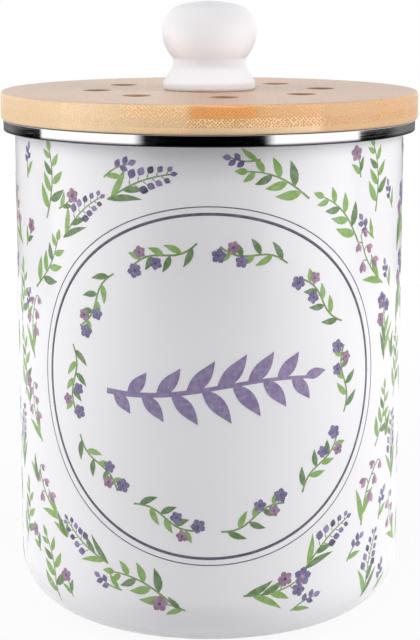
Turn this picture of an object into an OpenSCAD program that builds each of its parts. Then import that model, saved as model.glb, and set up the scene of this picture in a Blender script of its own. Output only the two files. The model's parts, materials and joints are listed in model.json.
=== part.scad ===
// Countertop compost caddy: a deep drawn, enamelled steel can with a lift-off bamboo lid.
// Millimetres, +Z up, origin at the centre of the base, front towards -Y.
// The lid rests on the rim ring. Below it a plug ring with a gasket closes the mouth, and a
// filter holder hangs by three keyholes on shoulder screws and comes off with a short twist.

/* [Can] */
// Outside diameter of the steel wall
can_d = 158.8; // [140:0.2:180]
// Height from the base to the top of the steel lip
can_h = 202.4; // [150:0.2:240]
// Thickness of the enamelled sheet
can_t = 1; // [0.8:0.1:1.6]
// Outside radius of the bend between wall and base
bend_r = 22.3; // [12:0.1:28]
// Width of the flat foot ring that the can stands on
foot_w = 8; // [5:0.5:14]
// Height of the recess pressed into the base inside the foot ring
recess_h = 1.5; // [1:0.1:3]
// How far the lip stands out from the wall
lip_w = 4.1; // [3:0.1:6]
// Height of the lip's turned-down edge
lip_h = 3.1; // [2.5:0.1:6]

/* [Rim ring] */
// Thickness of the stainless sheet
ring_t = 0.5; // [0.4:0.1:0.8]
// Outside radius of the ring's two rounded edges
ring_edge_r = 1.2; // [0.9:0.1:1.4]
// Length of the ring's leg inside the mouth
ring_leg_h = 6; // [4:0.5:12]
// Gap between the ring's tucked-in lower edge and the wall
ring_tuck_gap = 0.4; // [0.2:0.1:1]

/* [Lid] */
// How far the lid stands out past the rim ring
lid_overhang = 1; // [0:0.1:4]
// Thickness of the top ply
top_ply_t = 5.1; // [4:0.1:8]
// Thickness of the core ply
core_ply_t = 3.4; // [2.8:0.1:6]
// Thickness of the bottom ply
bottom_ply_t = 2.5; // [2:0.1:4]
// Radius of the rounded top edge
lid_edge_r = 1.2; // [0.5:0.1:2]
// Radius of the rounded bottom edge
lid_under_edge_r = 0.8; // [0.4:0.1:1.5]

/* [Vents] */
// Number of vent holes
vent_count = 8; // [5:1:10]
// Diameter of a vent hole
vent_d = 10.8; // [7:0.1:12]
// Width of the chamfer round a vent hole
vent_chamfer = 0.6; // [0.2:0.1:1]
// Distance from a vent hole's edge to the filter cup's wall
vent_margin = 3.6; // [1:0.1:6]
// Direction of the first vent hole, in degrees
vent_angle = -83; // [-90:1:-45]

/* [Plug and gasket] */
// Depth of the plug ring below the lid
plug_h = 10; // [8:0.5:16]
// Width of the plug ring's wall
plug_w = 9.2; // [7:0.1:12]
// Gap between the plug ring and the rim ring's leg
plug_gap = 1.7; // [1.2:0.1:3]
// Radius of the plug ring's lower edges
plug_edge_r = 1; // [0.5:0.1:2]
// Height of the gasket and of its groove
gasket_h = 3; // [2.4:0.1:4]
// Depth of the gasket's groove
gasket_groove = 2.2; // [1.5:0.1:3]
// Thickness of each of the gasket's two fins
fin_t = 0.8; // [0.5:0.1:1]
// Gap between the fins and the rim ring's leg
fin_gap = 0.3; // [0.2:0.05:0.6]

/* [Knob] */
// Height of the knob above the lid
knob_h = 35.7; // [30:0.1:42]
// Diameter of the head
head_d = 38.6; // [34:0.1:46]
// Radius of the head's upper shoulder
shoulder_r = 10.7; // [8:0.1:12]
// Radius of the curve below the head's widest point
under_r = 16.5; // [14:0.1:20]
// Height of the shallow dome over the shoulder
dome_h = 0.9; // [0.5:0.1:1.5]
// Diameter of the neck
neck_d = 29.7; // [24:0.1:31]
// Diameter of the base
knob_base_d = 37.6; // [34:0.1:44]
// Height of the base's straight side
knob_side_h = 2.6; // [1.5:0.1:4]
// Radius of the base's upper edge
knob_edge_r = 1.8; // [1:0.1:2.2]
// Slope of the base's cone, as degrees off upright
knob_slope = 31.4; // [25:0.1:40]
// Radius of the hollow between cone and neck
neck_fillet_r = 4; // [2:0.1:5]

/* [Knob fastening] */
// Diameter of the knob's screw
knob_screw_d = 5; // [4:0.5:6]
// Length of the knob's screw below its head
knob_screw_l = 16; // [14:0.5:20]
// Diameter of that screw's head
knob_screw_head_d = 9; // [8:0.1:10]
// Height of that screw's head
knob_screw_head_h = 3.2; // [2.5:0.1:4]
// Diameter of the washer
washer_d = 12; // [11:0.1:14]
// Thickness of the washer
washer_t = 1; // [0.6:0.1:1.5]
// Room round the washer and below the screw's head
sink_gap = 1; // [0.5:0.1:2]
// Depth of the screw's head above the lid's underside
head_recess = 0.3; // [0:0.1:1]
// Room round the screw in the lid, each side
bore_gap = 0.25; // [0.1:0.05:0.5]
// Diameter of the knob's threaded insert
insert_d = 8; // [7:0.1:10]
// Length of the threaded insert
insert_l = 10; // [8:0.5:12]
// Depth of the insert above the knob's base
insert_recess = 0.3; // [0:0.1:1]
// Room past the screw's tip in the knob
tip_room = 1; // [0.5:0.5:3]

/* [Filter holder] */
// Gap between the holder's flange and the plug ring
flange_gap = 1; // [0.6:0.1:3]
// Width of the flange that carries the keyholes
flange_w = 9.5; // [9.2:0.1:12]
// Thickness of the flange
flange_t = 1.6; // [1.2:0.1:2.5]
// Thickness of the cup's wall
cup_t = 1.5; // [1:0.1:2.5]
// Gap above and below the flange, which lets it turn
slide_gap = 0.3; // [0.2:0.05:0.6]
// Turn between locked and free, in degrees
twist = 12; // [10:0.5:20]
// Thickness of the filter pad
pad_t = 9.6; // [6:0.1:14]
// Gap between the pad and the cup's wall
pad_gap = 0.3; // [0:0.1:1]
// Room above the pad inside the cup
pad_headroom = 0.7; // [0.3:0.1:3]
// Thickness of the grille below the pad
grille_t = 1.6; // [1.2:0.1:3]
// Width of one slot in the grille
slot_w = 4; // [3:0.1:6]
// Distance from one slot to the next
slot_pitch = 8; // [7:0.1:12]
// Width of the grille's solid margin
grille_margin = 5; // [3:0.5:10]
// Length of the finger grip below the grille
grip_l = 44; // [30:1:60]
// Thickness of the finger grip
grip_t = 4; // [3:0.1:6]
// Height of the finger grip
grip_h = 7; // [5:0.5:12]

/* [Holder screws] */
// Radius of the rounded edge of every screw's head
screw_edge_r = 0.8; // [0.3:0.1:1.2]
// Width of the cross recess in every screw's head
cross_w = 0.9; // [0.6:0.1:1.4]
// Shank diameter of a holder screw
holder_screw_d = 3.5; // [3:0.1:4]
// Depth of a holder screw in the lid
holder_screw_bite = 7; // [5:0.5:9]
// Head diameter of a holder screw
holder_head_d = 7; // [6:0.1:7.4]
// Head height of a holder screw
holder_head_h = 2.2; // [1.5:0.1:3]
// Room round the shank in its slot, each side
shank_gap = 0.25; // [0.2:0.05:0.5]
// Room round the head in the keyhole's round end, each side
head_gap = 0.5; // [0.3:0.1:0.6]

/* [Hidden] */
$fn = 96;
over = 1;            // how far a cutter runs past what it cuts
screw_count = 3;     // holder screws, evenly spaced
screw_angle = 30;    // direction of the first holder screw

// Can and rim ring
can_r = can_d / 2;
can_in_r = can_r - can_t;
flat_r = can_r - bend_r;
recess_r = flat_r - foot_w;
lip_r = can_r + lip_w;
lip_z = can_h - lip_h;
ring_r = lip_r + ring_t;
ring_in_r = can_in_r - ring_t;
ring_z = lip_z - ring_t;
ring_top = can_h + ring_t;

// Lid, from its underside up
lid_z = ring_top;
core_z = lid_z + bottom_ply_t;
top_z = core_z + core_ply_t;
lid_top = top_z + top_ply_t;
lid_r = ring_r + lid_overhang;

// Plug ring and gasket
plug_r = ring_in_r - plug_gap;
plug_in_r = plug_r - plug_w;
plug_z = lid_z - plug_h;
groove_r = plug_r - gasket_groove;
gasket_z = lid_z - plug_h / 2 - gasket_h / 2;
gasket_top = gasket_z + gasket_h;
fin_r = ring_in_r - fin_gap;

// Filter holder
flange_r = plug_in_r - flange_gap;
flange_top = lid_z - slide_gap;
flange_z = flange_top - flange_t;
cup_r = flange_r - flange_w;
cup_in_r = cup_r - cup_t;
keyhole_r = (flange_r + cup_r) / 2;
pad_r = cup_in_r - pad_gap;
pad_top = flange_top - pad_headroom;
pad_z = pad_top - pad_t;
holder_z = pad_z - grille_t;
grille_r = cup_in_r - grille_margin;
slot_side_count = floor((grille_r - slot_w) / slot_pitch);
vent_r = cup_in_r - vent_margin - vent_d / 2;

// Holder screws
holder_head_top = flange_z - slide_gap;
holder_head_z = holder_head_top - holder_head_h;
holder_screw_top = lid_z + holder_screw_bite;

// Knob's screw, washer and insert
knob_head_z = lid_z + head_recess;
washer_z = knob_head_z + knob_screw_head_h;
sink_top = washer_z + washer_t;
sink_r = washer_d / 2 + sink_gap;
knob_screw_top = washer_z + knob_screw_l;
insert_z = lid_top + insert_recess;
insert_top = insert_z + insert_l;
knob_bore_top = max(insert_top, knob_screw_top) + tip_room;

// Knob's outline: a dome and a shoulder over the widest point, one arc below it, then neck and cone
head_r = head_d / 2;
neck_r = neck_d / 2;
knob_base_r = knob_base_d / 2;
widest_z = lid_top + knob_h - dome_h - shoulder_r;
shoulder_x = head_r - shoulder_r;
dome_drop = (shoulder_x * shoulder_x - dome_h * dome_h) / (2 * dome_h);
dome_r = dome_h + shoulder_r + dome_drop;
dome_tilt = atan2(shoulder_x, dome_drop);
under_x = head_r - under_r;
crease_z = widest_z - sqrt(under_r * under_r - (neck_r - under_x) * (neck_r - under_x));
edge_x = knob_base_r - knob_edge_r;
edge_z = lid_top + knob_side_h;
cone_x = cos(knob_slope);    // the cone's outward normal
cone_z = sin(knob_slope);
cone_reach = cone_x * edge_x + cone_z * edge_z + knob_edge_r;
fillet_x = neck_r + neck_fillet_r;
fillet_z = (cone_reach + neck_fillet_r - cone_x * fillet_x) / cone_z;

// Sections, drawn with X as the radius and Y as the height

// A rectangle between two corners
module box_section(r0, z0, r1, z1) {
    translate([r0, z0]) square([r1 - r0, z1 - z0]);
}

// A disc's section from the axis out, with its lower and upper outer edges rounded
module disc_section(r, z0, z1, low_r, high_r) {
    polygon([[0, z0], [r - low_r, z0], [r, z0 + low_r],
             [r, z1 - high_r], [r - high_r, z1], [0, z1]]);
    translate([r - low_r, z0 + low_r]) circle(low_r);
    translate([r - high_r, z1 - high_r]) circle(high_r);
}

// A quarter of a circular band: outer radius r, thickness t, lower right quarter
module bend_section(r, t) {
    intersection() {
        difference() {
            circle(r);
            circle(r - t);
        }
        translate([0, -r]) square(r);
    }
}

// The rim ring's outline outside the wall, drawn in by a distance on all sides
module rim_outline(inset) {
    r = ring_r - inset;
    z0 = ring_z + inset;
    z1 = ring_top - inset;
    edge = ring_edge_r - inset;
    polygon([[can_in_r, z0], [r - edge, z0], [r, z0 + edge],
             [r, z1 - edge], [r - edge, z1], [can_in_r, z1]]);
    for (z = [z0 + edge, z1 - edge]) translate([r - edge, z]) circle(edge);
}

// Cutters that several plies share

// Vent holes, evenly spaced, with a chamfer at the lid's top
module vents() {
    for (i = [0 : vent_count - 1]) {
        rotate(vent_angle + i * 360 / vent_count) translate([vent_r, 0, 0]) {
            translate([0, 0, lid_z - over]) cylinder(h = lid_top - lid_z + 2 * over, d = vent_d);
            translate([0, 0, lid_top - vent_chamfer])
                cylinder(h = 2 * vent_chamfer, r1 = vent_d / 2, r2 = vent_d / 2 + 2 * vent_chamfer);
        }
    }
}

// The knob screw's hole and the sink for its washer and head
module knob_screw_space() {
    translate([0, 0, lid_z - over])
        cylinder(h = lid_top - lid_z + 2 * over, d = knob_screw_d + 2 * bore_gap);
    translate([0, 0, lid_z - over]) cylinder(h = sink_top - lid_z + over, r = sink_r);
}

// Places its child at every holder screw
module at_screws() {
    for (i = [0 : screw_count - 1]) rotate(screw_angle + i * 360 / screw_count) children();
}

// Holes that the holder screws are driven into
module holder_screw_space() {
    at_screws() translate([keyhole_r, 0, lid_z - over])
        cylinder(h = holder_screw_bite + over, d = holder_screw_d);
}

// One ply of the lid
module ply(z0, z1, low_r, high_r) {
    difference() {
        rotate_extrude() disc_section(lid_r, z0, z1, low_r, high_r);
        vents();
        knob_screw_space();
        holder_screw_space();
    }
}

// A cross recess cut up into a screw's head from below
module cross_recess(size, depth) {
    for (turn = [0, 90]) rotate(turn) {
        translate([-size / 2, -cross_w / 2, -over]) cube([size, cross_w, depth + over]);
    }
}

// A pan head screw that points up: its head from head_z to neck_z, and its shank up to tip_z
module pan_screw(d, head_d, head_z, neck_z, tip_z) {
    difference() {
        union() {
            rotate_extrude() disc_section(head_d / 2, head_z, neck_z, screw_edge_r, 0);
            translate([0, 0, head_z]) cylinder(h = tip_z - head_z, d = d);
        }
        translate([0, 0, head_z]) cross_recess(d, (neck_z - head_z) / 2);
    }
}

// Sub-parts

module can_body() {
    color("#F4F3EF") rotate_extrude() {
        box_section(0, recess_h, recess_r + can_t, recess_h + can_t);
        box_section(recess_r, 0, recess_r + can_t, recess_h + can_t);
        box_section(recess_r, 0, flat_r, can_t);
        translate([flat_r, bend_r]) bend_section(bend_r, can_t);
        box_section(can_in_r, bend_r, can_r, can_h);
        difference() {
            rim_outline(ring_t);
            box_section(0, 0, lip_r - can_t, can_h - can_t);
        }
    }
}

module rim_ring() {
    color("#C9CCD0") rotate_extrude() {
        difference() {
            rim_outline(0);
            rim_outline(ring_t);
            box_section(0, 0, can_r + ring_tuck_gap, can_h);
        }
        box_section(ring_in_r, can_h - ring_leg_h, can_in_r, can_h);
        intersection() {
            translate([can_in_r, can_h]) circle(ring_t);
            box_section(ring_in_r, can_h, can_in_r, ring_top);
        }
    }
}

module lid_top_ply() {
    color("#D6A06C") ply(top_z, lid_top, 0, lid_edge_r);
}

module lid_core_ply() {
    color("#E0B98C") ply(core_z, top_z, 0, 0);
}

module lid_bottom_ply() {
    color("#EBCDA4") ply(lid_z, core_z, lid_under_edge_r, 0);
}

module lid_plug_ring() {
    color("#DDB588") rotate_extrude() difference() {
        disc_section(plug_r, plug_z, lid_z, plug_edge_r, 0);
        box_section(0, plug_z - over, plug_in_r, lid_z + over);
        box_section(groove_r, gasket_z, plug_r + over, gasket_top);
    }
}

module lid_gasket() {
    color("#E4E2DC") rotate_extrude() {
        box_section(groove_r, gasket_z, plug_r, gasket_top);
        box_section(groove_r, gasket_z, fin_r, gasket_z + fin_t);
        box_section(groove_r, gasket_top - fin_t, fin_r, gasket_top);
    }
}

// The head above the widest point: a shallow dome that runs on into a round shoulder
module head_upper_section() {
    far = 2 * dome_r;
    tip = [shoulder_x + far * sin(dome_tilt), widest_z + far * cos(dome_tilt)];
    intersection() {
        translate([0, widest_z - dome_drop]) circle(dome_r, $fn = 360);
        polygon([[0, widest_z - shoulder_r / 2], [shoulder_x, widest_z], tip, [0, tip[1]]]);
    }
    intersection() {
        translate([shoulder_x, widest_z]) circle(shoulder_r);
        box_section(0, widest_z - shoulder_r, head_r + over, widest_z + shoulder_r);
    }
}

// The head below the widest point, down to the crease where it meets the neck
module head_lower_section() {
    intersection() {
        translate([under_x, widest_z]) circle(under_r);
        box_section(0, crease_z, head_r + over, widest_z);
    }
}

// The base's straight side, rounded edge and cone, with the hollow that runs into the neck
module knob_foot_section() {
    difference() {
        polygon([[0, lid_top], [knob_base_r, lid_top], [knob_base_r, edge_z],
                 [edge_x + knob_edge_r * cone_x, edge_z + knob_edge_r * cone_z],
                 [fillet_x - neck_fillet_r * cone_x, fillet_z - neck_fillet_r * cone_z],
                 [neck_r, fillet_z], [0, fillet_z]]);
        translate([fillet_x, fillet_z]) circle(neck_fillet_r);
    }
    translate([edge_x, edge_z]) circle(knob_edge_r);
}

module knob() {
    bore_h = knob_bore_top - lid_top;
    color("#F1EFEA") difference() {
        rotate_extrude() {
            head_upper_section();
            head_lower_section();
            box_section(0, fillet_z, neck_r, crease_z);
            knob_foot_section();
        }
        translate([0, 0, lid_top - over]) cylinder(h = bore_h + over, d = insert_d);
    }
}

module knob_insert() {
    color("#C8A24C") translate([0, 0, insert_z]) difference() {
        cylinder(h = insert_l, d = insert_d);
        translate([0, 0, -over]) cylinder(h = insert_l + 2 * over, d = knob_screw_d);
    }
}

module knob_screw() {
    color("silver") pan_screw(knob_screw_d, knob_screw_head_d, knob_head_z, washer_z, knob_screw_top);
}

module knob_washer() {
    color("gainsboro") translate([0, 0, washer_z]) difference() {
        cylinder(h = washer_t, d = washer_d);
        translate([0, 0, -over]) cylinder(h = washer_t + 2 * over, d = knob_screw_d + 2 * bore_gap);
    }
}

// One keyhole through the flange: the shank's slot, and the round end that the head passes
module keyhole() {
    h = flange_t + 2 * over;
    shank_w = holder_screw_d + 2 * shank_gap;
    translate([0, 0, flange_z - over]) {
        translate([keyhole_r, 0, 0]) cylinder(h = h, d = shank_w);
        rotate(-twist) {
            rotate_extrude(angle = twist)
                box_section(keyhole_r - shank_w / 2, 0, keyhole_r + shank_w / 2, h);
            translate([keyhole_r, 0, 0]) cylinder(h = h, d = holder_head_d + 2 * head_gap);
        }
    }
}

// Slots across the grille, each as long as its chord allows
module grille_slots() {
    for (i = [-slot_side_count : slot_side_count]) {
        x = i * slot_pitch;
        far_x = abs(x) + slot_w / 2;
        half_l = sqrt(grille_r * grille_r - far_x * far_x);
        translate([x - slot_w / 2, -half_l, holder_z - over]) cube([slot_w, 2 * half_l, grille_t + 2 * over]);
    }
}

// The finger grip, square to the slots so that every bar of the grille carries it
module grip() {
    half = grip_l / 2 - grip_t / 2;
    translate([-half, -grip_t / 2, holder_z - grip_h]) cube([2 * half, grip_t, grip_h + grille_t]);
    for (x = [-half, half]) translate([x, 0, holder_z - grip_h]) cylinder(h = grip_h + grille_t, d = grip_t);
}

module filter_holder() {
    color("#5B6064") {
        difference() {
            rotate_extrude() {
                box_section(0, holder_z, cup_r, pad_z);
                box_section(cup_in_r, pad_z, cup_r, flange_top);
                box_section(cup_r, flange_z, flange_r, flange_top);
            }
            at_screws() keyhole();
            grille_slots();
        }
        grip();
    }
}

module filter_pad() {
    color("#26282A") translate([0, 0, pad_z]) cylinder(h = pad_t, r = pad_r);
}

// A shoulder screw: its head lies below the flange and its shank runs up into the lid
module holder_screw(i) {
    color("silver") rotate(screw_angle + i * 360 / screw_count) translate([keyhole_r, 0, 0])
        pan_screw(holder_screw_d, holder_head_d, holder_head_z, holder_head_top, holder_screw_top);
}

can_body();
rim_ring();
lid_top_ply();
lid_core_ply();
lid_bottom_ply();
lid_plug_ring();
lid_gasket();
knob();
knob_insert();
knob_screw();
knob_washer();
filter_holder();
filter_pad();
holder_screw(0);  // holder_screw_1
holder_screw(1);  // holder_screw_2
holder_screw(2);  // holder_screw_3
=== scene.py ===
# Countertop compost caddy: an enamelled steel can with a steel rim ring and a lift-off bamboo lid.
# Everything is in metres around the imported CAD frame; sizes in the dictionaries are millimetres.
import bpy
import bmesh
import json
import math
from functools import partial
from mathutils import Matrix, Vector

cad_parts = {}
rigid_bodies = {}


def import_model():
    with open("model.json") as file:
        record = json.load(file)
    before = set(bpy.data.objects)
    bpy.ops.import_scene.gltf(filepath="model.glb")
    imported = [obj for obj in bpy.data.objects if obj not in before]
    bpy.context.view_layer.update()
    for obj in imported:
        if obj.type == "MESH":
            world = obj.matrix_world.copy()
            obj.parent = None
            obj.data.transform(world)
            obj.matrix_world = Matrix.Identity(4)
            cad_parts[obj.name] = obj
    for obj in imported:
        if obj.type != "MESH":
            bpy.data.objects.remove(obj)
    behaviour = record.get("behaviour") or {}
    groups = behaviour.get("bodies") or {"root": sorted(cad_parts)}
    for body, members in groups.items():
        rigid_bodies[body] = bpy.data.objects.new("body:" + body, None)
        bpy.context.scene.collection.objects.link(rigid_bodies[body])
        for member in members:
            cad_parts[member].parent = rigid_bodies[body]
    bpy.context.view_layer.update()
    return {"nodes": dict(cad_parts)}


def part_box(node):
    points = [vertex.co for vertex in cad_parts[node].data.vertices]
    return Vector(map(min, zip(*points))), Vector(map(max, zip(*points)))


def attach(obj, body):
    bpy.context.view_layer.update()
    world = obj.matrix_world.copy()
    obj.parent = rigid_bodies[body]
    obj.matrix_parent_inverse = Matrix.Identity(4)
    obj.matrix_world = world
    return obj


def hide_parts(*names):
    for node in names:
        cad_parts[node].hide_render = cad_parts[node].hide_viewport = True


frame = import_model()
nodes = frame["nodes"]
mm = 0.001


def linkObject(name, data):
    made = bpy.data.objects.new(name, data)
    bpy.context.scene.collection.objects.link(made)
    return made


# Camera: the photograph's height, pitch and long lens

cameraValues = {
    "place": (0.00029, -0.74849, 0.26361),
    "pitchDown": 11.03,  # degrees
    "sensor": 36,
    "lens": 102.29,  # the sensor fits the long side of the picture
    "clipStart": 0.01,
}


def makeCamera(v):
    data = bpy.data.cameras.new("camera")
    data.sensor_width = v["sensor"]
    data.lens = v["lens"]
    data.clip_start = v["clipStart"]
    camera = linkObject("camera", data)
    camera.location = v["place"]
    camera.rotation_euler = (math.radians(90 - v["pitchDown"]), 0, 0)
    bpy.context.scene.camera = camera


makeCamera(cameraValues)
bpy.context.scene.view_settings.view_transform = "Standard"
print("camera placed")


# Helpers for colours, nodes and meshes

def linear(hexColour):
    channels = [int(hexColour[i:i + 2], 16) / 255 for i in (1, 3, 5)]
    return [c / 12.92 if c <= 0.04045 else ((c + 0.055) / 1.055) ** 2.4 for c in channels] + [1.0]


# An input takes a value, a socket, or a node whose first output is meant. Some inputs are numbered: a Mix has
# its share at 0 and its colours at 6 and 7, a Map Range its value at 0 and its two ranges at 1 to 4
def feed(node, inputs):
    for name, value in inputs.items():
        if isinstance(value, bpy.types.Node):
            value = value.outputs[0]
        if isinstance(value, bpy.types.NodeSocket):
            node.id_data.links.new(value, node.inputs[name])
        else:
            node.inputs[name].default_value = value


def addNode(tree, kind, inputs=None, **settings):
    node = tree.nodes.new(kind)
    for name, value in settings.items():
        setattr(node, name, value)
    feed(node, inputs or {})
    return node


def newMaterial(name, shader):
    material = bpy.data.materials.new(name)
    material.use_nodes = True
    principled = material.node_tree.nodes["Principled BSDF"]
    feed(principled, shader)
    return material, partial(addNode, material.node_tree), principled


def newGeometryTree(name, sockets):
    tree = bpy.data.node_groups.new(name, "GeometryNodeTree")
    for kind, labels in sockets.items():
        for label in labels.split(", "):
            tree.interface.new_socket(name=label, in_out="INPUT", socket_type="NodeSocket" + kind)
    tree.interface.new_socket(name="Geometry", in_out="OUTPUT", socket_type="NodeSocketGeometry")
    add = partial(addNode, tree)
    return tree, add, add("NodeGroupInput").outputs, add("NodeGroupOutput")


def shadeByAngle(mesh, degrees=38):
    mesh.shade_smooth()
    mesh.set_sharp_from_angle(angle=math.radians(degrees))


def turnOutwards(mesh):
    shape = bmesh.new()
    shape.from_mesh(mesh)
    if shape.calc_volume(signed=True) < 0:
        bmesh.ops.reverse_faces(shape, faces=shape.faces)
        shape.to_mesh(mesh)
    shape.free()


def runTree(name, tree, values, carrier=None):
    carrier = carrier or linkObject("carrier", bpy.data.meshes.new("carrier"))
    modifier = carrier.modifiers.new(tree.name, "NODES")
    modifier.node_group = tree
    for socket in tree.interface.items_tree:
        if socket.in_out == "INPUT" and socket.name in values:
            modifier[socket.identifier] = values[socket.name]
    graph = bpy.context.evaluated_depsgraph_get()
    mesh = bpy.data.meshes.new_from_object(carrier.evaluated_get(graph), depsgraph=graph)
    bpy.data.objects.remove(carrier)  # its modifier goes with it
    mesh.name = name
    return linkObject(name, mesh)


def heightsOf(node):
    low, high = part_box(node)
    return low.z / mm, high.z / mm


def arc(r, z, radius, start, end, steps=8):
    angles = [math.radians(start + (end - start) * i / steps) for i in range(steps + 1)]
    return [(r + radius * math.cos(a), z + radius * math.sin(a)) for a in angles]


# Spins a closed outline of (radius, height) in mm about the axis
def lathe(name, outline, turns=192, hold=0.3):
    points = []
    for (r0, z0), (r1, z1) in zip(outline, outline[1:] + outline[:1]):
        points.append((r0, z0))
        run = math.hypot(r1 - r0, z1 - z0)
        # points near both ends of a straight run keep its shading flat
        if run > 4 * hold and max(r0, r1) > 0:
            for share in (hold / run, 1 - hold / run):
                points.append((r0 + (r1 - r0) * share, z0 + (z1 - z0) * share))
    vertices, rings = [], []
    for r, z in points:
        count = turns if r > 1e-6 else 1
        rings.append(range(len(vertices), len(vertices) + count))
        for i in range(count):
            a = 2 * math.pi * i / turns
            vertices.append((r * mm * math.sin(a), -r * mm * math.cos(a), z * mm))
    faces = []
    for low, high in zip(rings, rings[1:] + rings[:1]):
        for i in range(turns):
            j = (i + 1) % turns
            corners = [low[i % len(low)], low[j % len(low)], high[j % len(high)], high[i % len(high)]]
            face = list(dict.fromkeys(corners))
            if len(face) > 2:
                faces.append(face)
    mesh = bpy.data.meshes.new(name)
    mesh.from_pydata(vertices, [], faces)
    turnOutwards(mesh)
    shadeByAngle(mesh)
    return linkObject(name, mesh)


def finishPiece(piece, body, material, stands=()):
    if material is not None:
        piece.data.materials.clear()
        piece.data.materials.append(material)
    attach(piece, body)
    if stands:
        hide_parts(*stands)


# Two close tones in soft patches of some mm, and a skin of fine bumps where there is one: its size in mm,
# detail, strength and depth in mm
def makeMottled(name, v):
    material, add, principled = newMaterial(name, v["shader"])
    first, second = v["tones"]
    place = add("ShaderNodeTexCoord").outputs["Object"]
    cloud = add("ShaderNodeTexNoise", {"Vector": place, "Scale": 1000 / v["patch"], "Detail": 2})
    tone = add("ShaderNodeMix", {0: cloud, 6: linear(first), 7: linear(second)}, data_type="RGBA")
    feed(principled, {"Base Color": tone.outputs[2]})
    if "skin" in v:
        size, detail, strength, depth = v["skin"]
        grit = add("ShaderNodeTexNoise", {"Vector": place, "Scale": 1000 / size, "Detail": detail})
        bump = add("ShaderNodeBump", {"Height": grit, "Strength": strength, "Distance": depth * mm})
        feed(principled, {"Normal": bump})
    return material


# Bright metal with small smears in the gloss, which a stretch draws out
def makeMetal(name, colour, smearSize, low, high, stretch=None):
    material, add, principled = newMaterial(name, {"Base Color": linear(colour), "Metallic": 1.0})
    place = add("ShaderNodeTexCoord").outputs["Object"]
    if stretch:
        place = add("ShaderNodeMapping", {"Vector": place, "Scale": stretch})
    smear = add("ShaderNodeTexNoise", {"Vector": place, "Scale": 1000 / smearSize, "Detail": 3})
    rough = add("ShaderNodeMapRange", {0: smear, 1: 0.3, 2: 0.7, 3: low, 4: high})
    feed(principled, {"Roughness": rough})
    return material, add, principled


steelValues = {
    "bright": "#D8D8DA",
    "paintedSeamShade": "#3E3A3D",  # painted shade: the outer face darkens towards its lower edge, where the seam under the ring lies in shade
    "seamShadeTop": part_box("rim_ring")[0].z + 3.15 * mm,
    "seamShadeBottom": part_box("rim_ring")[0].z + 2.3 * mm,
    "insideRadius": 79.5 * mm,
    "markSize": 0.5,  # the polishing wheel's marks run round the ring
    "markStretch": (0.04, 0.04, 1),
    "roughness": (0.04, 0.1),
}


# Deep drawn stainless sheet, mirror polished: bright, with faint marks of the polishing wheel round the ring,
# and a band of painted shade and dark reflection along the outer face's lower edge
def makePolishedSteel(v):
    material, add, principled = makeMetal(
        "stainless steel, mirror polished", v["bright"], v["markSize"], *v["roughness"], v["markStretch"])
    place = add("ShaderNodeTexCoord").outputs["Object"]
    axes = add("ShaderNodeSeparateXYZ", {0: place}).outputs
    level = add("ShaderNodeCombineXYZ", {0: axes["X"], 1: axes["Y"]})
    away = add("ShaderNodeVectorMath", {0: level}, operation="LENGTH").outputs["Value"]
    outside = add("ShaderNodeMath", {0: away, 1: v["insideRadius"]}, operation="GREATER_THAN")
    # painted shade: from the band's top down to its bottom the outer face turns to the dark seam shade
    turned = add("ShaderNodeMapRange", {0: axes["Z"], 1: v["seamShadeTop"], 2: v["seamShadeBottom"]})
    share = add("ShaderNodeMath", {0: turned, 1: outside}, operation="MULTIPLY")
    tone = add("ShaderNodeMix", {0: share, 6: linear(v["bright"]), 7: linear(v["paintedSeamShade"])}, data_type="RGBA")
    feed(principled, {"Base Color": tone.outputs[2]})
    return material


# Vitreous enamel, sprayed and fired on steel: a hard white glass with a faint orange peel
enamel = makeMottled("vitreous enamel, fired white", {
    "shader": {"Roughness": 0.16, "IOR": 1.5},
    "patch": 60,
    "tones": ("#EFEDF1", "#F4F3F4"),
    "skin": (2.5, 1, 0.05, 0.02),
})
polishedSteel = makePolishedSteel(steelValues)
print("enamel and steel mixed")


# Can: one drawn sheet with a wide bend at the base, a foot ring and a turned-out lip

canValues = {
    "radius": 79.4,
    "height": 202.4,
    "sheet": 1.0,
    "bendRadius": 22.3,
    "footWidth": 8.0,
    "recess": 1.5,
    "recessBend": 0.7,
    "lipRadius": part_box("can_body")[1].x / mm,
    "lipHeight": 3.1,
    "lipEdge": 0.7,
}


def canOutline(v):
    radius, sheet, bend, height = v["radius"], v["sheet"], v["bendRadius"], v["height"]
    flat = radius - bend
    step = flat - v["footWidth"]
    soft = v["recessBend"]
    lip, edge = v["lipRadius"], v["lipEdge"]
    lipZ = height - v["lipHeight"]
    outside = [(0, v["recess"])]
    outside += arc(step - soft, v["recess"] - soft, soft, 90, 0, 4)
    outside += arc(step + soft, soft, soft, 180, 270, 4)
    outside += arc(flat, bend, bend, -90, 0, 32)
    outside += [(radius, height - sheet), (lip - sheet, height - sheet), (lip - sheet, lipZ)]
    outside += arc(lip - edge, lipZ + edge, edge, -90, 0)
    outside += arc(lip - edge, height - edge, edge, 0, 90)
    inside = [(radius - sheet, height)]
    inside += arc(flat, bend, bend - sheet, 0, -90, 32)
    inside += [(step + sheet, sheet), (step + sheet, v["recess"] + sheet), (0, v["recess"] + sheet)]
    return outside + inside


finishPiece(lathe("canBody", canOutline(canValues), 256), "can", enamel, ["can_body"])
print("can drawn")


# Rim ring: polished sheet folded over the lip, tucked in below it, with a leg inside the mouth

ringValues = {
    "radius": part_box("rim_ring")[1].x / mm,
    "sheet": 0.5,
    "topEdge": 0.2,
    "lowEdge": 0.4,
    "low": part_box("rim_ring")[0].z / mm + 1.8,  # the leg inside reaches lower than the rolled edge
    "high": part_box("rim_ring")[1].z / mm - 0.25,  # the rolled edge stands just clear of the bamboo
    "leg": 6.0,
    "tuck": 79.8,
    "mouth": 78.4,
}


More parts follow.
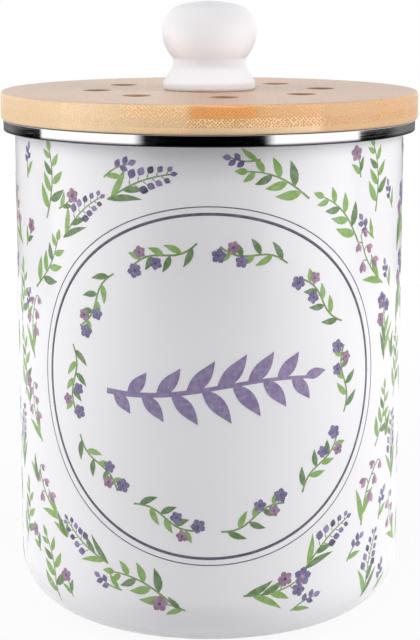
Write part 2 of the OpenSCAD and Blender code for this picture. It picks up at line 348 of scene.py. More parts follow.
def ringOutline(v):
    outer, sheet, low, high = v["radius"], v["sheet"], v["low"], v["high"]
    topEdge, lowEdge = v["topEdge"], v["lowEdge"]
    mouth, top = v["mouth"], v["high"] - v["sheet"]
    outline = [(v["tuck"], low)]
    outline += arc(outer - lowEdge, low + lowEdge, lowEdge, -90, 0)
    outline += arc(outer - topEdge, high - topEdge, topEdge, 0, 90)
    outline += arc(mouth, top, sheet, 90, 180, 5)
    outline += [(mouth - sheet, top - v["leg"]), (mouth, top - v["leg"]), (mouth, top)]
    outline += arc(outer - topEdge, high - topEdge, topEdge - sheet, 90, 0)
    outline += [(outer - sheet, low + sheet), (v["tuck"], low + sheet)]
    return outline


finishPiece(
    lathe("rimRing", ringOutline(ringValues), 256, 0.1), "can", polishedSteel, ["rim_ring"])
print("rim ring rolled")


# Bamboo: flat strips that run from front to back, glued side by side and lacquered

bambooValues = {
    "stripWidth": 24.5,
    "firstJoint": -7.3,  # the joint left of the middle strip
    "blend": 0.07,  # how softly a strip's tone passes into the next one's, as a share of its width
    "bundleGap": 0.95,  # fibre bundles on a cut end; real ones are closer, and these are to show
    "bundlesAskew": 0.45,
    "dotFade": 0.08,
    "dotEdges": (0.5, 0.66),  # a bundle's size as a share of the gap, in the finest and coarsest patches
    "patchSize": 9.0,
    "dotsOnFace": 0.12,  # of their strength on a cut end
    "turnedUp": (0.3, 0.9),  # how far up a face looks where the cut ends pass into the flat faces
    "caneShift": (0, 300, 7),  # each strip is cut from another cane, or from another place in it
    "grain": (1, 0.02, 0.9),
    "streakScale": 1.4,
    "streakRange": (0.3, 0.72),
    "grooves": 0.05,
    "streak": ("#C98F57", 0.3),
    "knuckle": ("#B98450", 0.18),
    "knuckleGap": 210.0,  # length of cane between two knuckles
    "knuckleWave": 3.0,
    "waveLength": 6.0,
    "knuckleEdge": (0.4, 2.2),
    "glue": ("#9A6B3C", 0.08),
    "glueLine": 0.25,  # half its width
    "glueCore": 0.3,  # the share of it that has the full tone
    "paintedBoreShade": "#8A4812",  # painted shade: the bores' walls are darkened brown, as shade falls inside the holes
    "boresWithin": 60.0,  # the vents and the screw hole lie inside this radius
}

canes = {  # colour of the wood, and how dark the fibre dots stand in it
    "pale": ("#DDC29A", 0.12),
    "straw": ("#E9CEA5", 0.3),
    "cream": ("#F5D6A6", 0.85),
    "honey": ("#E7A863", 0.9),
    "biscuit": ("#E2B884", 0.9),
    "tan": ("#D1AC80", 0.6),
}

cuts = {  # strips from left to right, tone and strength of the dots, tone and strength of the flat faces
    "top ply": {
        "finish": "lacquered",
        "strips": "pale pale straw cream honey biscuit tan tan tan",
        "dots": ("#B8733A", 0.6),
        "face": ("#C4AA98", 0.92),
        "roughness": 0.42,
    },
    # painted shade: the top face is toned darker and pinker for the strong light it gets from above
    "core ply": {
        "finish": "lacquered",
        "strips": "pale pale straw straw cream cream tan tan tan",
        "dots": ("#B4733A", 1.1),
        "face": ("#E2C39B", 0.5),
        "roughness": 0.5,
    },
    "bottom ply": {
        "finish": "lacquered",
        "strips": "pale pale straw cream straw straw tan tan tan",
        "dots": ("#B9854F", 0.15),
        "face": ("#E4C8A2", 0.6),
        "roughness": 0.45,
    },
    "plug ring": {
        "finish": "turned and oiled",
        "strips": "biscuit pale biscuit tan biscuit pale biscuit tan biscuit",
        "dots": ("#A9743F", 0.6),
        "face": ("#DDBA8A", 0.5),
        "roughness": 0.5,
    },
}


# Laminated bamboo, sanded satin: dark fibre dots on the cut ends and long fine streaks on the flat faces, with
# each strip in its own tone, faint glue lines and now and then a knuckle across a strip. The flat faces take a
# tone of their own, which on the top ply is painted shade, and the bores' walls are darkened with painted
# shade
def makeBamboo(name, cut, v):
    material, add, principled = newMaterial(f"bamboo {name}, {cut['finish']}", {
        "Roughness": cut["roughness"], "IOR": 1.5, "Coat Weight": 0.25, "Coat Roughness": 0.3,
    })
    strips = cut["strips"].split()
    coordinates = add("ShaderNodeTexCoord").outputs
    inMm = add("ShaderNodeMapping", {"Vector": coordinates["Object"], "Scale": (1000, 1000, 1000)})
    axes = add("ShaderNodeSeparateXYZ", {0: inMm}).outputs
    offset = add("ShaderNodeMath", {0: axes["X"], 1: v["firstJoint"]}, operation="SUBTRACT")
    strip = add("ShaderNodeMath", {0: offset, 1: v["stripWidth"]}, operation="DIVIDE")
    number = add("ShaderNodeMath", {0: strip}, operation="FLOOR")
    within = add("ShaderNodeMath", {0: strip}, operation="FRACT")
    half = len(strips) // 2
    share = add("ShaderNodeMapRange", {0: strip, 1: -half, 2: half + 1})
    ramp = add("ShaderNodeValToRGB", {"Fac": share})
    stops = ramp.color_ramp.elements
    for i, cane in enumerate(strips):  # the alpha of a stop is how dotted the strip is
        tone, dots = canes[cane]
        for j, edge in enumerate((v["blend"], 1 - v["blend"])):
            place = (i + edge) / len(strips)
            stop = stops[0] if i + j == 0 else stops[-1] if i + j == len(strips) else stops.new(place)
            stop.position = place
            stop.color = linear(tone)[:3] + [dots * cut["dots"][1]]
    chance = add("ShaderNodeTexWhiteNoise", {"W": number}, noise_dimensions="1D")
    slide = add("ShaderNodeVectorMath", {
        0: chance.outputs["Color"], 1: v["caneShift"], 2: inMm,
    }, operation="MULTIPLY_ADD")
    grain = add("ShaderNodeMapping", {"Vector": slide, "Scale": v["grain"]})
    streak = add("ShaderNodeTexNoise", {
        "Vector": grain, "Scale": v["streakScale"], "Detail": 5, "Roughness": 0.65,
    })
    # the fibres run along Y, so the bundles are laid out in X and Z
    endOn = add("ShaderNodeMapping", {"Vector": slide, "Rotation": (math.pi / 2, 0, 0)})
    lattice = add("ShaderNodeMapping", {"Vector": endOn, "Rotation": (0, 0, math.pi / 4)})
    bundle = add("ShaderNodeTexVoronoi", {
        "Vector": lattice, "Scale": 1 / v["bundleGap"], "Randomness": v["bundlesAskew"],
    }, voronoi_dimensions="2D")
    size = add("ShaderNodeTexNoise", {"Vector": inMm, "Scale": 1 / v["patchSize"], "Detail": 1})
    dotEdge = add("ShaderNodeMapRange", {
        0: size, 1: 0.35, 2: 0.65, 3: v["dotEdges"][0], 4: v["dotEdges"][1],
    })
    normal = add("ShaderNodeSeparateXYZ", {0: coordinates["Normal"]}).outputs
    facing = add("ShaderNodeMath", {0: normal["Z"]}, operation="ABSOLUTE")
    # the fibres are cut across at the edge and lie flat in the faces
    onEdge = add("ShaderNodeMapRange", {
        0: facing, 1: v["turnedUp"][0], 2: v["turnedUp"][1], 3: 1.0, 4: v["dotsOnFace"],
    })
    dotting = add("ShaderNodeMath", {0: ramp.outputs["Alpha"], 1: onEdge}, operation="MULTIPLY")
    dot = add("ShaderNodeMapRange", {
        0: bundle, 1: v["dotFade"], 2: dotEdge, 3: dotting, 4: 0,
    }, interpolation_type="SMOOTHSTEP")
    streaked = add("ShaderNodeMapRange", {
        0: streak, 1: v["streakRange"][0], 2: v["streakRange"][1], 3: 0.0, 4: v["streak"][1],
    })
    # the flat faces take their own tone, which on the top ply is painted shade
    faced = add("ShaderNodeMath", {0: 1.0, 1: onEdge}, operation="SUBTRACT")
    faceToneAndShadeShare = add("ShaderNodeMath", {0: faced, 1: cut["face"][1]}, operation="MULTIPLY")
    along = add("ShaderNodeSeparateXYZ", {0: slide}).outputs["Y"]
    wave = add("ShaderNodeTexNoise", {"Vector": inMm, "Scale": 1 / v["waveLength"], "Detail": 1})
    bent = add("ShaderNodeMath", {0: wave, 1: v["knuckleWave"], 2: along}, operation="MULTIPLY_ADD")
    toKnuckle = add("ShaderNodeMath", {0: bent, 1: v["knuckleGap"] / 2}, operation="PINGPONG")
    knotted = add("ShaderNodeMapRange", {
        0: toKnuckle, 1: v["knuckleEdge"][0], 2: v["knuckleEdge"][1], 3: v["knuckle"][1], 4: 0,
    }, interpolation_type="SMOOTHSTEP")
    toJoint = add("ShaderNodeMath", {0: within, 1: 0.5}, operation="PINGPONG")
    glued = add("ShaderNodeMapRange", {
        0: toJoint,
        1: v["glueCore"] * v["glueLine"] / v["stripWidth"],
        2: v["glueLine"] / v["stripWidth"],
        3: v["glue"][1],
        4: 0,
    }, interpolation_type="SMOOTHSTEP")
    # painted shade: upright walls within the bores' radius are darkened, as shade falls inside the holes
    flatPlace = add("ShaderNodeVectorMath", {0: inMm, 1: (1, 1, 0)}, operation="MULTIPLY")
    fromAxis = add("ShaderNodeVectorMath", {0: flatPlace}, operation="LENGTH").outputs["Value"]
    inBore = add("ShaderNodeMath", {0: fromAxis, 1: v["boresWithin"]}, operation="LESS_THAN")
    upright = add("ShaderNodeMapRange", {0: facing, 1: 0.95, 2: 0.5})
    boreShadeShare = add("ShaderNodeMath", {0: inBore, 1: upright}, operation="MULTIPLY")
    tone = ramp.outputs["Color"]
    for blend, amount, colour in (
            ("MIX", faceToneAndShadeShare, cut["face"][0]),
            ("MULTIPLY", streaked, v["streak"][0]),
            ("MIX", dot, cut["dots"][0]),
            ("MULTIPLY", knotted, v["knuckle"][0]),
            ("MULTIPLY", glued, v["glue"][0]),
            ("MULTIPLY", boreShadeShare, v["paintedBoreShade"])):
        mixed = add("ShaderNodeMix", {
            0: amount, 6: tone, 7: linear(colour),
        }, data_type="RGBA", blend_type=blend)
        tone = mixed.outputs[2]
    bump = add("ShaderNodeBump", {"Height": streak, "Strength": 0.25, "Distance": v["grooves"] * mm})
    feed(principled, {"Base Color": tone, "Normal": bump})
    return material


bamboo = {name: makeBamboo(name, cut, bambooValues) for name, cut in cuts.items()}
print("bamboo mixed")


# Lid: three plies, drilled through for the vents and for the knob's screw

lidValues = {
    "radius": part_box("lid_core_ply")[1].x / mm,
    "screwBore": 2.75,
    "sinkRadius": 7.0,
    "sinkTop": 207.4,
    "topEdge": 1.2,
    "underEdge": 0.8,
    "ventCount": 8,
    "ventRadius": 5.4,
    "ventChamfer": 0.6,
    "ventCircle": 46.0,
    "firstVent": -83.0,  # degrees
}


def plyOutline(node, v, underEdge, topEdge):
    low, high = heightsOf(node)
    radius, sink = v["radius"], v["sinkTop"]
    outline = arc(radius - underEdge, low + underEdge, underEdge, -90, 0) if underEdge else [(radius, low)]
    outline += arc(radius - topEdge, high - topEdge, topEdge, 0, 90) if topEdge else [(radius, high)]
    if low < sink < high:
        bore, wide = v["screwBore"], v["sinkRadius"]
        return outline + [(bore, high), (bore, sink), (wide, sink), (wide, low)]
    bore = v["sinkRadius"] if high <= sink else v["screwBore"]
    return outline + [(bore, high), (bore, low)]


def ventCutter(v):
    low = heightsOf("lid_bottom_ply")[0] - 1
    high = heightsOf("lid_top_ply")[1]
    radius, chamfer = v["ventRadius"], v["ventChamfer"]
    cutter = lathe("ventCutter", [(0, low), (radius, low), (radius, high - chamfer),
                                  (radius + 2 * chamfer, high + chamfer), (0, high + chamfer)], 48)
    cutter.hide_render = True
    return cutter


def makeDrillTree():
    tree, add, given, result = newGeometryTree("drill vents", {
        "Geometry": "Geometry",
        "Object": "Cutter",
        "Int": "Vent Count",
        "Float": "Vent Circle, First Vent",
        "Material": "Material",
    })
    circle = add("GeometryNodeMeshCircle", {"Vertices": given["Vent Count"], "Radius": given["Vent Circle"]})
    turn = add("ShaderNodeCombineXYZ", {"Z": given["First Vent"]})
    turned = add("GeometryNodeTransform", {"Geometry": circle, "Rotation": turn})
    cutter = add("GeometryNodeObjectInfo", {"Object": given["Cutter"]})
    drills = add("GeometryNodeInstanceOnPoints", {"Points": turned, "Instance": cutter.outputs["Geometry"]})
    solid = add("GeometryNodeRealizeInstances", {0: drills})
    drilled = add("GeometryNodeMeshBoolean", {
        "Mesh 1": given["Geometry"], "Mesh 2": solid,
    }, operation="DIFFERENCE", solver="EXACT")
    finished = add("GeometryNodeSetMaterial", {"Geometry": drilled, "Material": given["Material"]})
    feed(result, {"Geometry": finished})
    return tree


def makePly(layer, drill, cutter, v, underEdge, topEdge):
    name, node = f"lid{layer.capitalize()}Ply", f"lid_{layer}_ply"
    blank = lathe(name + "Blank", plyOutline(node, v, underEdge, topEdge))
    ply = runTree(name, drill, {
        "Cutter": cutter,
        "Vent Count": v["ventCount"],
        "Vent Circle": v["ventCircle"] * mm,
        "First Vent": math.radians(v["firstVent"]),
        "Material": bamboo[layer + " ply"],
    }, blank)
    shadeByAngle(ply.data)
    finishPiece(ply, "lid", None, [node])


drillTree = makeDrillTree()
cutterPiece = ventCutter(lidValues)
for layer, underEdge, topEdge in (
        ("top", 0.0, lidValues["topEdge"]), ("core", 0.0, 0.0), ("bottom", lidValues["underEdge"], 0.0)):
    makePly(layer, drillTree, cutterPiece, lidValues, underEdge, topEdge)
bpy.data.objects.remove(cutterPiece)
print("lid plies drilled")


# Knob: one turned outline, glued up on its threaded insert

knobValues = {
    "headRadius": 19.3,
    "shoulderRadius": 10.45,
    "domeHeight": 1.15,
    "underRadius": 16.5,
    "neckRadius": 14.85,
    "neckFillet": 4.0,
    "baseRadius": 18.8,
    "sideHeight": 2.6,
    "baseEdge": 1.8,
    "coneSlope": 31.4,  # degrees off upright
    "boreRadius": 4.0,
    "boreTop": 225.2,
    "footEdge": 1.3,
}


def knobOutline(v):
    low, high = heightsOf("knob")
    widest = high - v["domeHeight"] - v["shoulderRadius"]
    shoulder = v["headRadius"] - v["shoulderRadius"]
    drop = (shoulder ** 2 - v["domeHeight"] ** 2) / (2 * v["domeHeight"])
    tilt = math.degrees(math.atan2(shoulder, drop))
    under = v["headRadius"] - v["underRadius"]
    crease = math.degrees(math.acos((v["neckRadius"] - under) / v["underRadius"]))
    edgeR, edgeZ = v["baseRadius"] - v["baseEdge"], low + v["sideHeight"]
    slope = math.radians(v["coneSlope"])
    filletR = v["neckRadius"] + v["neckFillet"]
    reach = math.cos(slope) * edgeR + math.sin(slope) * edgeZ + v["baseEdge"] + v["neckFillet"]
    filletZ = (reach - math.cos(slope) * filletR) / math.sin(slope)
    outline = [(0, v["boreTop"]), (v["boreRadius"], v["boreTop"]), (v["boreRadius"], low)]
    outline += arc(v["baseRadius"] - v["footEdge"], low + v["footEdge"], v["footEdge"], -90, 0, 6)
    outline += arc(edgeR, edgeZ, v["baseEdge"], 0, v["coneSlope"])
    outline += arc(filletR, filletZ, v["neckFillet"], 180 + v["coneSlope"], 180, 12)
    outline += arc(under, widest, v["underRadius"], -crease, 0, 24)
    outline += arc(shoulder, widest, v["shoulderRadius"], 0, 90 - tilt, 32)
    outline += arc(0, widest - drop, v["domeHeight"] + v["shoulderRadius"] + drop, 90 - tilt, 90, 10)
    return outline


# White melamine moulding with a satin skin: light goes a little way in, so its shades are soft
knobWhite = makeMottled("white moulded knob, satin", {
    "shader": {
        "Roughness": 0.3,
        "IOR": 1.5,
        "Subsurface Weight": 0.6,
        "Subsurface Radius": (1, 1, 1),
        "Subsurface Scale": 9 * mm,
    },
    "patch": 14,
    "tones": ("#D7D6D9", "#DEDCDE"),
    "skin": (0.8, 2, 0.06, 0.02),
})
finishPiece(lathe("knobTurned", knobOutline(knobValues), 128), "lid", knobWhite, ["knob"])
print("knob turned")


# Plug ring and gasket below the lid

plugValues = {
    "outer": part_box("lid_plug_ring")[1].x / mm,
    "inner": 67.0,
    "groove": 74.0,
    "lowEdge": 1.0,
    "gasketLow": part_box("lid_gasket")[0].z / mm,
    "gasketHigh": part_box("lid_gasket")[1].z / mm,
    "finRadius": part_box("lid_gasket")[1].x / mm,
    "finThickness": 0.8,
    "innerEdge": 0.5,
}


def plugOutline(v):
    low, high = heightsOf("lid_plug_ring")
    edge = v["lowEdge"]
    outline = arc(v["outer"] - edge, low + edge, edge, -90, 0)
    outline += [(v["outer"], v["gasketLow"]), (v["groove"], v["gasketLow"])]
    outline += [(v["groove"], v["gasketHigh"]), (v["outer"], v["gasketHigh"]), (v["outer"], high)]
    soft = v["innerEdge"]
    return outline + [(v["inner"], high)] + arc(v["inner"] + soft, low + soft, soft, 180, 270, 4)


def gasketOutline(v):
    low, high, fin, tip = v["gasketLow"], v["gasketHigh"], v["finThickness"], v["finRadius"]
    half = fin / 2
    outline = [(v["groove"], low), (v["outer"], low)] + arc(tip - half, low + half, half, -90, 90, 6)
    outline += arc(v["outer"] + 0.4, (low + high) / 2, (high - low) / 2 - fin, 270, 90, 8)[1:-1]
    outline += arc(tip - half, high - half, half, -90, 90, 6) + [(v["groove"], high)]
    return outline


# Food grade silicone, compression moulded: milky, soft and dull, a little light goes in
silicone = makeMottled("silicone, moulded milky", {
    "shader": {"Roughness": 0.48, "IOR": 1.41, "Subsurface Weight": 0.25, "Subsurface Scale": 1.5 * mm},
    "patch": 8,
    "tones": ("#DCDAD3", "#E8E6E0"),
})
plugRing = lathe("plugRing", plugOutline(plugValues))
finishPiece(plugRing, "lid", bamboo["plug ring"], ["lid_plug_ring"])
finishPiece(lathe("gasket", gasketOutline(plugValues), 192, 0.1), "lid", silicone, ["lid_gasket"])
print("plug ring and gasket turned")


# Filter pad: a thick felt disc with soft cut edges, a little fuller in the middle

padValues = {
    "radius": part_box("filter_pad")[1].x / mm,
    "edge": 2.2,
    "crown": 0.35,
    "fill": 0.9,
    "fuzz": 0.18,
    "tones": ("#17181A", "#3A3C3F"),
    "stray": 4.0,
    "bendGap": 6.0,
    "fibreGap": 0.9,  # real fibres are finer, drawn this far apart so that they show
}


def padOutline(v):
    low, high = heightsOf("filter_pad")
    radius, edge, crown = v["radius"], v["edge"], v["crown"]
    top = high - crown
    shares = (0.2, 0.4, 0.6, 0.8)
    outline = [(0, low)] + [(radius * share, low) for share in shares]
    outline += arc(radius - edge, low + edge, edge, -90, 0, 6)
    outline += arc(radius - edge, top - edge, edge, 0, 90, 6)
    outline += [(radius * share, top + crown * math.cos(share * math.pi / 2)) for share in shares[::-1]]
    return outline + [(0, high)]


# Carbon felt, needled from charcoal-coated fibre: near black, dull, with a faint fibrous sheen
def makeFelt(v):
    material, add, principled = newMaterial("carbon felt, needled", {
        "Roughness": 0.95, "Sheen Weight": 0.3, "Sheen Roughness": 0.6, "Specular IOR Level": 0.2,
    })
    place = add("ShaderNodeTexCoord").outputs["Object"]
    bent = add("ShaderNodeTexNoise", {"Vector": place, "Scale": 1000 / v["bendGap"], "Detail": 2})
    strayed = add("ShaderNodeVectorMath", {
        0: bent.outputs["Color"], 1: [v["stray"] * mm] * 3, 2: place,
    }, operation="MULTIPLY_ADD")
    fibre = add("ShaderNodeTexNoise", {
        "Vector": strayed, "Scale": 1000 / v["fibreGap"], "Detail": 4, "Roughness": 0.7,
    })
    tone = add("ShaderNodeMix", {
        0: fibre, 6: linear(v["tones"][0]), 7: linear(v["tones"][1]),
    }, data_type="RGBA")
    bump = add("ShaderNodeBump", {"Height": fibre, "Strength": 0.8, "Distance": v["fuzz"] * mm})
    feed(principled, {"Base Color": tone.outputs[2], "Normal": bump})
    return material


feltPad = lathe("feltPad", padOutline(padValues), 128)
finishPiece(feltPad, "filter", makeFelt(padValues), ["filter_pad"])
print("filter pad cut")


# Finishes for the CAD nodes that stay: holder, screws, washer and insert

# Polypropylene, injection moulded dark grey: fine spark-eroded texture, soft highlights
holderPlastic = makeMottled("polypropylene, moulded grey", {
    "shader": {"Roughness": 0.42, "IOR": 1.49},
    "patch": 25,
    "tones": ("#54595D", "#60656A"),
    "skin": (0.5, 1, 0.3, 0.03),
})
zincSteel = makeMetal("steel, zinc plated", "#C4C8CC", 1.5, 0.22, 0.36)[0]  # bluish bright, slightly hazy
turnedBrass = makeMetal("brass, turned", "#D9B56A", 1.5, 0.2, 0.34)[0]  # yellow, fine tool marks
screws = ("knob_screw", "knob_washer", "holder_screw_1", "holder_screw_2", "holder_screw_3")
nodeFinishes = dict.fromkeys(screws, zincSteel)
nodeFinishes.update(filter_holder=holderPlastic, knob_insert=turnedBrass)
for nodeName, finish in nodeFinishes.items():
    for place in nodes[nodeName].material_slots:
        place.material = finish
print("carried nodes finished")


# Print: sprigs, a double ring and a leafy twig, fired on the enamel as very thin raised ink

printValues = {
    "columns": 20,  # an even number, every second one stands half a row higher
    "rows": 6,
    "rowPitch": 31.0,
    "lowestRow": 26.0,
    "jitter": 2.2,
    "turn": 26.0,  # degrees to either side
    "fillerTurn": 60.0,
    "sprigTop": 184.0,
    "fillerTop": 192.0,
    "sprigGap": 10.0,  # from the outer ring to a sprig's middle
    "fillerGap": 19.0,
    "pushFrom": 0.88,  # what stands deeper in the medallion than this share is left out, the rest moves out
    "closest": 20.0,
    "medallionHeight": 106.4,
    "outerRing": (74.1, 69.5, 0.4),  # half width, half height and line width
    "innerRing": (70.7, 66.75, 1.1),
    "wreath": (57.0, 53.5),
    "wreathCount": 10,
    "sunk": 0.05,  # how far the ink reaches into the enamel
    "rise": 0.05,
    "layerRise": 0.02,
    "washSize": 2.2,
    "washTone": "#F1F0F2",
    "sprigWash": 0.14,
    "lineWash": 0.06,
}

inks = {
    "stem": "#6F8F4C",
    "leaf": "#7FA84C",
    "leafDeep": "#587C40",
    "violet": "#675A8A",
    "violetDeep": "#433B60",
    "lilac": "#8878A6",
    "mauve": "#926A88",
    "pink": "#B4879C",
    "twig": "#85749F",
    "ring": "#554D62",
}


# A closed thin strip along a path: its top stands a little proud of the wall, its bottom lies in the enamel
def addStroke(shape, path, widths, layer, ink):
    first = len(shape["vertices"])
    rise, sunk = printValues["rise"] + printValues["layerRise"] * layer, printValues["sunk"]
    for i, ((x, y), half) in enumerate(zip(path, widths)):
        x0, y0 = path[max(0, i - 1)]
        x1, y1 = path[min(len(path) - 1, i + 1)]
        run = math.hypot(x1 - x0, y1 - y0)
        dx, dy = -(y1 - y0) / run * half, (x1 - x0) / run * half
        for px, py in ((x + dx, y + dy), (x - dx, y - dy)):
            shape["vertices"] += [(px * mm, py * mm, rise * mm), (px * mm, py * mm, -sunk * mm)]
    faces = [(first, first + 1, first + 3, first + 2)]
    for i in range(len(path) - 1):
        a = first + 4 * i
        b = a + 4
        faces += [(a, a + 2, b + 2, b), (a + 1, b + 1, b + 3, a + 3)]
        faces += [(a, b, b + 1, a + 1), (a + 2, a + 3, b + 3, b + 2)]
    faces.append((b, b + 2, b + 3, b + 1))
    shape["faces"] += faces
    shape["inks"] += [ink] * len(faces)


def addLeaf(shape, base, angle, length, width, ink, layer=1, bend=0.0, belly=0.8, steps=5):
    path, widths = [], []
    x, y = base
    turn = math.radians(angle - bend / 2)
    for i in range(steps + 1):
        share = i / steps
        path.append((x, y))
        widths.append(max(0.06, width / 2 * math.sin(math.pi * share ** belly)))
        x += length / steps * math.sin(turn)
        y += length / steps * math.cos(turn)
        turn += math.radians(bend) / steps
    addStroke(shape, path, widths, layer, ink)
    return path[-1]


def stemPoint(stem, share):
    height, sway = stem["height"], stem["sway"]
    return (sway * math.sin(math.pi * share * 0.8), height * (share - 0.5))


def stemAngle(stem, share):
    x0, y0 = stemPoint(stem, share - 0.02)
    x1, y1 = stemPoint(stem, share + 0.02)
    return math.degrees(math.atan2(x1 - x0, y1 - y0))


# A leaf on a stem, at a share of its height, that leans off it by some degrees
def stemLeaf(shape, stem, share, lean, *leaf):
    return addLeaf(shape, stemPoint(stem, share), stemAngle(stem, share) + lean, *leaf)


def addStem(shape, stem, width=0.8, top=1.0, ink="stem", steps=9):
    path = [stemPoint(stem, top * i / steps) for i in range(steps + 1)]
    addStroke(shape, path, [width / 2 * (1 - 0.4 * i / steps) for i in range(steps + 1)], 0, ink)


def addBlossom(shape, centre, size, petalInk, heartInk, turn=0.0):
    for i in range(5):
        addLeaf(shape, centre, turn + 72 * i, size / 2, size * 0.42, petalInk, 2, 0, 1.5, 4)
    x, y = centre
    addLeaf(shape, (x, y - size * 0.12), 0, size * 0.24, size * 0.24, heartInk, 4, 0, 1.0, 3)


def blossomStem(shape):
    stem = {"height": 26.0, "sway": 3.4}
    addStem(shape, stem)
    for share, side, length in ((0.02, -1, 13.0), (0.12, 1, 14.5), (0.27, -1, 11.5), (0.4, 1, 9.0)):
        stemLeaf(shape, stem, share, side * 30, length, 3.0, ("leaf", "leafDeep")[side < 0], 1, side * 26)
    for share, side, reach, size in ((0.58, -1, 5.0, 6.6), (0.74, 1, 4.6, 6.0)):
        tip = stemLeaf(shape, stem, share, side * 48, reach, 0.7, "stem", 0, side * -20)
        addBlossom(shape, tip, size, "mauve" if side < 0 else "violet", "violetDeep", 20 * side)
    addBlossom(shape, stemPoint(stem, 1.0), 8.0, "violet", "pink", 8)


def berryStem(shape):
    stem = {"height": 28.0, "sway": -2.8}
    addStem(shape, stem)
    for share, side, length in ((0.0, 1, 14.5), (0.06, -1, 13.0), (0.26, 1, 8.5)):
        stemLeaf(shape, stem, share, side * 32, length, 2.7, ("leafDeep", "leaf")[side < 0], 1, side * 22)
    for i in range(9):
        share = 0.38 + 0.068 * i
        side = 1 if i % 2 else -1
        ink = ("violet", "violetDeep", "lilac")[i % 3]
        angle = stemAngle(stem, share) + side * 40
        tip = stemLeaf(shape, stem, share, side * 55, 2.8 - 0.18 * i, 0.5, "stem", 0, -side * 20, 1, 2)
        addLeaf(shape, tip, angle, 4.1 - 0.2 * i, 3.4 - 0.17 * i, ink, 2, 0, 0.95, 4)
    stemLeaf(shape, stem, 0.97, 0, 3.0, 1.9, "violet", 2, 0, 1, 3)


def leafSpray(shape):
    stem = {"height": 27.0, "sway": 4.2}
    addStem(shape, stem, 0.8, 0.98)
    for i in range(7):
        share = 0.14 + 0.12 * i
        side = 1 if i % 2 else -1
        ink = "leafDeep" if i % 3 == 1 else "leaf"
        stemLeaf(shape, stem, share, side * 42, 10.5 - 0.8 * i, 3.6 - 0.2 * i, ink, 1, -side * 24)
    stemLeaf(shape, stem, 0.95, 0, 5.0, 2.6, "leaf", 1)


def bellStem(shape):
    stem = {"height": 26.0, "sway": -4.4}
    addStem(shape, stem)
    for share, side, length in ((0.03, -1, 14.5), (0.14, 1, 12.0)):
        stemLeaf(shape, stem, share, side * 26, length, 3.0, "leaf", 1, side * 20)
    for i, (share, side) in enumerate(((0.44, 1), (0.58, -1), (0.73, 1), (0.87, -1), (0.99, 1))):
        tip = stemLeaf(shape, stem, share, side * 62, 3.4 - 0.3 * i, 0.6, "stem", 0, side * 50, 1, 3)
        for spread, ink, layer in ((-17, "pink", 2), (17, "mauve", 3)):
            addLeaf(shape, tip, side * 150 + spread, 5.2 - 0.45 * i, 2.6 - 0.18 * i, ink, layer, 0, 1.4, 4)


def smallBlossom(shape):
    stem = {"height": 10.0, "sway": 1.2}
    addStem(shape, stem, 0.7, 1.0, "stem", 4)
    addLeaf(shape, stemPoint(stem, 0.1), -34, 7.2, 2.4, "leaf", 1, -24, 0.8, 4)
    addLeaf(shape, stemPoint(stem, 0.2), 38, 6.4, 2.3, "leafDeep", 1, 24, 0.8, 4)
    addBlossom(shape, stemPoint(stem, 1.0), 6.6, "mauve", "violetDeep", 12)


def smallBuds(shape):
    stem = {"height": 11.0, "sway": -1.4}
    addStem(shape, stem, 0.7, 1.0, "stem", 4)
    addLeaf(shape, stemPoint(stem, 0.08), 30, 8.0, 2.3, "leaf", 1, 22, 0.8, 4)
    for share, side in ((0.55, -1), (0.7, 1), (0.85, -1), (1.0, 0)):
        ink = "violet" if side else "lilac"
        addLeaf(shape, stemPoint(stem, share), side * 46, 3.6, 2.4, ink, 2, 0, 1.0, 4)


def smallLeaves(shape):
    addLeaf(shape, (0, -5), -20, 10.0, 2.6, "leaf", 1, -30, 0.8, 5)
    addLeaf(shape, (0, -5), 16, 11.5, 2.7, "leafDeep", 2, 26, 0.8, 5)
    addLeaf(shape, (0, -5), 50, 6.5, 2.1, "leaf", 1, 20, 0.8, 4)


# The wreath's garland piece runs to the left and right of its middle, on a gently waved stem
def garland(shape, mirrored=1):
    stem = [(-13.5 + 2.25 * i, 1.7 * mirrored * math.sin((-13.5 + 2.25 * i) / 4.4)) for i in range(13)]
    addStroke(shape, stem, [0.36] * len(stem), 0, "stem")
    for i in range(6):
        side, ink = (mirrored, "leaf") if i % 2 else (-mirrored, "leafDeep")
        addLeaf(shape, stem[1 + 2 * i - i // 3], 90 - side * 42, 8.2 - 0.5 * i, 2.6, ink, 1, side * 22)
    for i, side, size in ((7, 1, 5.2), (9, -1, 5.0), (11, 1, 6.0)):
        tip = addLeaf(shape, stem[i], 90 - side * 55, 3.2, 0.5, "stem", 0, 0, 1, 2)
        addBlossom(shape, tip, size, "violet" if side > 0 else "mauve", "violetDeep", 30 * side)


def garlandTurned(shape):
    garland(shape, -1)


# A wide leafy twig in one flat ink, in the middle of the ring
def middleTwig(shape):
    reach, wave, steps = 41.0, 3.2, 28
    path = [(x, wave * math.sin(x / 19)) for x in [reach * (2 * i / steps - 1) for i in range(steps + 1)]]
    addStroke(shape, path, [1.1 - 0.5 * i / steps for i in range(steps + 1)], 0, "twig")
    for i in range(13):
        x, y = path[2 * i + 1]
        side = 1 if i % 2 else -1
        length, width = 17.5 - 0.05 * abs(x) ** 1.35, 6.2 - 0.03 * abs(x)
        addLeaf(shape, (x, y), 90 - side * 50, length, width, "twig", 1 + i % 3, side * -24, 0.85, 8)
    addLeaf(shape, path[-2], 80, 9.5, 4.2, "twig", 2, 10, 0.85, 6)


def shapeMesh(name, draw):
    shape = {"vertices": [], "faces": [], "inks": []}
    draw(shape)
    mesh = bpy.data.meshes.new(name)
    mesh.from_pydata(shape["vertices"], [], shape["faces"])
    layer = mesh.attributes.new("ink", "FLOAT_COLOR", "CORNER")
    for polygon, ink in zip(mesh.polygons, shape["inks"]):
        for loop in polygon.loop_indices:
            layer.data[loop].color = linear(inks[ink])
    return mesh


def motifCollection(name, draws):
    collection = bpy.data.collections.new(name)
    for i, draw in enumerate(draws):
        collection.objects.link(bpy.data.objects.new(f"{name}{i}", shapeMesh(f"{name}{i}", draw)))
    return collection


